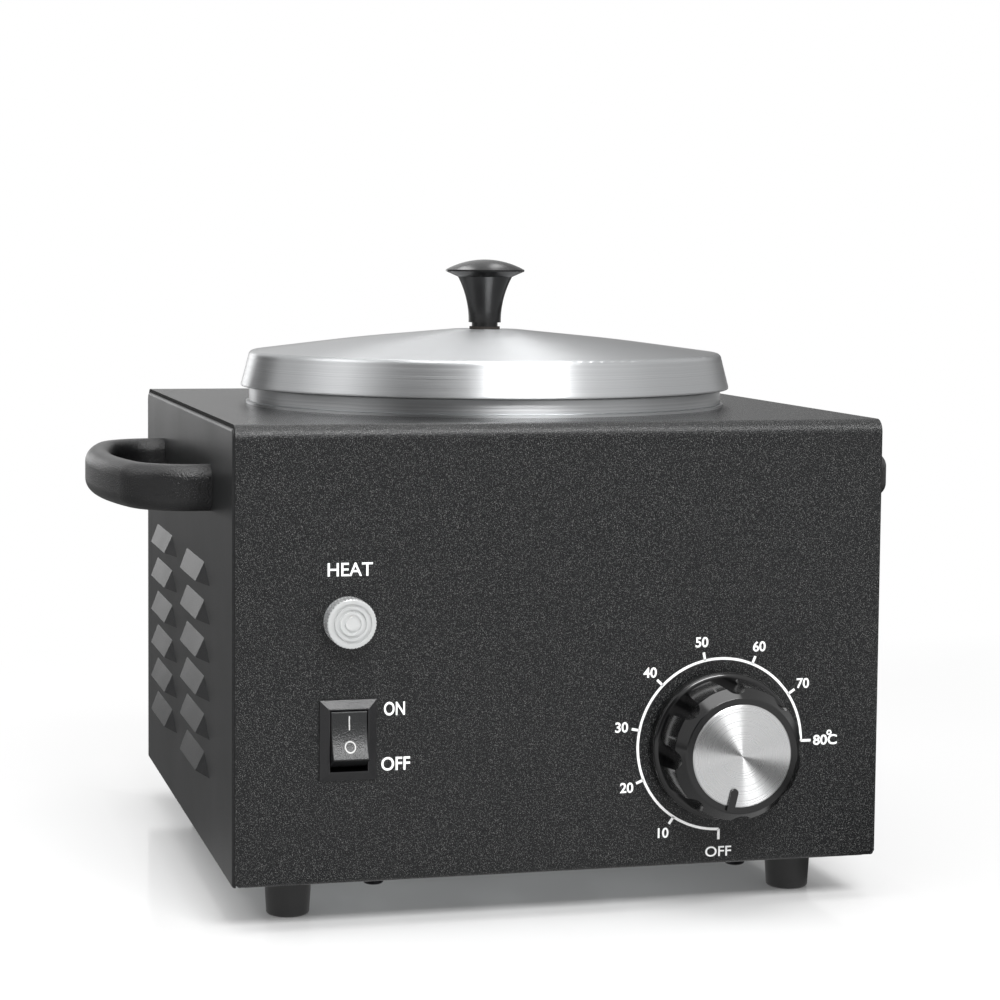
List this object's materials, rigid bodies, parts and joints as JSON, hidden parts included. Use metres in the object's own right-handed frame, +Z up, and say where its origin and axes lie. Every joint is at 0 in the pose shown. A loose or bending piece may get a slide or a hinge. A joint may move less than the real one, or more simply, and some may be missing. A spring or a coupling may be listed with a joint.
{
  "type": "wax warmer",
  "caption": "Countertop wax warmer: louvred steel case with side handles, lift-out aluminium pot, spun lid, thermostat dial, rocker switch and pilot lamp.",
  "frame": {"origin": "on the table, under the middle of the whole object's box, dial knob and grommet included", "axes": "+X to the right seen from the front, +Y to the back, +Z up; the lid lifts along +Z"},
  "size_m": [0.234, 0.1956, 0.1743],
  "materials": {
    "case_powder_coat": "fine-textured powder coat",
    "side_powder_coat": "powder coat",
    "zinc_steel": "zinc plated",
    "black_screw": "black zinc",
    "foot_rubber": "matt",
    "handle_phenolic": "moulded, faint grain",
    "knob_phenolic": "polished moulding",
    "well_aluminium": "satin",
    "pot_aluminium": "spun",
    "lid_aluminium": "spun, brushed",
    "brass": "turned",
    "washer_fibre": "fibre",
    "heater_steel": "jacket",
    "bead_ceramic": "unglazed",
    "blanket_fibre": "ceramic fibre",
    "cutout_ceramic": "unglazed",
    "thermostat_steel": "bright",
    "blade_brass": "tinned",
    "shaft_steel": "turned",
    "spring_steel": "plain",
    "copper": "drawn copper",
    "dial_plastic": "gloss moulding",
    "dial_cap_aluminium": "face turned",
    "switch_plastic": "moulding",
    "rocker_plastic": "fine grain",
    "lens_plastic": "clear, ribbed",
    "lamp_glass": "clear",
    "lamp_tube_plastic": "white",
    "nut_plastic": "white",
    "grommet_rubber": "matt",
    "block_plastic": "white polyamide",
    "wire_brown": "silicone",
    "wire_blue": "silicone",
    "wire_earth_green": "green and yellow"
  },
  "bodies": {
    "case": {"housing_wrap": "case_powder_coat", "left_side_panel": "side_powder_coat", "right_side_panel": "side_powder_coat", "bottom_plate": "zinc_steel", "bottom_screws": "black_screw", "rubber_feet": "foot_rubber", "foot_screws": "zinc_steel", "foot_nuts": "zinc_steel", "left_handle": "handle_phenolic", "right_handle": "handle_phenolic", "handle_screws": "zinc_steel", "heating_well": "well_aluminium", "well_posts": "zinc_steel", "well_post_screws": "zinc_steel", "band_heater": "heater_steel", "band_clamp_screws": "zinc_steel", "heater_studs": "brass", "stud_beads": "bead_ceramic", "insulation_jacket": "blanket_fibre", "thermal_cutout": "cutout_ceramic", "cutout_screws": "zinc_steel", "thermostat_body": "thermostat_steel", "thermostat_terminals": "blade_brass", "thermostat_screws": "zinc_steel", "capillary_tube": "copper", "sensor_bulb": "copper", "bulb_clips": "spring_steel", "switch_housing": "switch_plastic", "switch_terminals": "blade_brass", "pilot_lens": "lens_plastic", "pilot_body": "lamp_tube_plastic", "pilot_lamp": "lamp_glass", "pilot_nut": "nut_plastic", "cord_grommet": "grommet_rubber", "terminal_block": "block_plastic", "terminal_screws": "brass", "earth_stud": "zinc_steel", "wire_live": "wire_brown", "wire_switched": "wire_brown", "wire_to_cutout": "wire_brown", "wire_to_heater": "wire_brown", "wire_neutral": "wire_blue", "wire_earth": "wire_earth_green", "wire_lamp_live": "wire_brown", "wire_lamp_neutral": "wire_blue"},
    "pot": {"wax_pot": "pot_aluminium"},
    "lid": {"lid": "lid_aluminium", "lid_knob": "knob_phenolic", "lid_knob_insert": "brass", "lid_knob_screw": "zinc_steel", "lid_knob_washer": "washer_fibre"},
    "dial": {"dial_knob": "dial_plastic", "dial_knob_cap": "dial_cap_aluminium", "dial_knob_clip": "spring_steel", "thermostat_shaft": "shaft_steel"},
    "rocker": {"switch_rocker": "rocker_plastic"}
  },
  "joints": [
    {"name": "pot_lift", "type": "slide", "parent": "case", "child": "pot", "axis": [0, 0, 1], "range_m": [0, 0.11]},
    {"name": "lid_lift", "type": "slide", "parent": "pot", "child": "lid", "axis": [0, 0, 1], "range_m": [0, 0.06]},
    {"name": "dial_turn", "type": "hinge", "parent": "case", "child": "dial", "pos_m": [0.0432, -0.08, 0.0449], "axis": [0, 1, 0], "range_deg": [-13, 257]},
    {"name": "rocker_tip", "type": "hinge", "parent": "case", "child": "rocker", "pos_m": [-0.059, -0.0775, 0.0501], "axis": [1, 0, 0], "range_deg": [0, 30]}
  ]
}
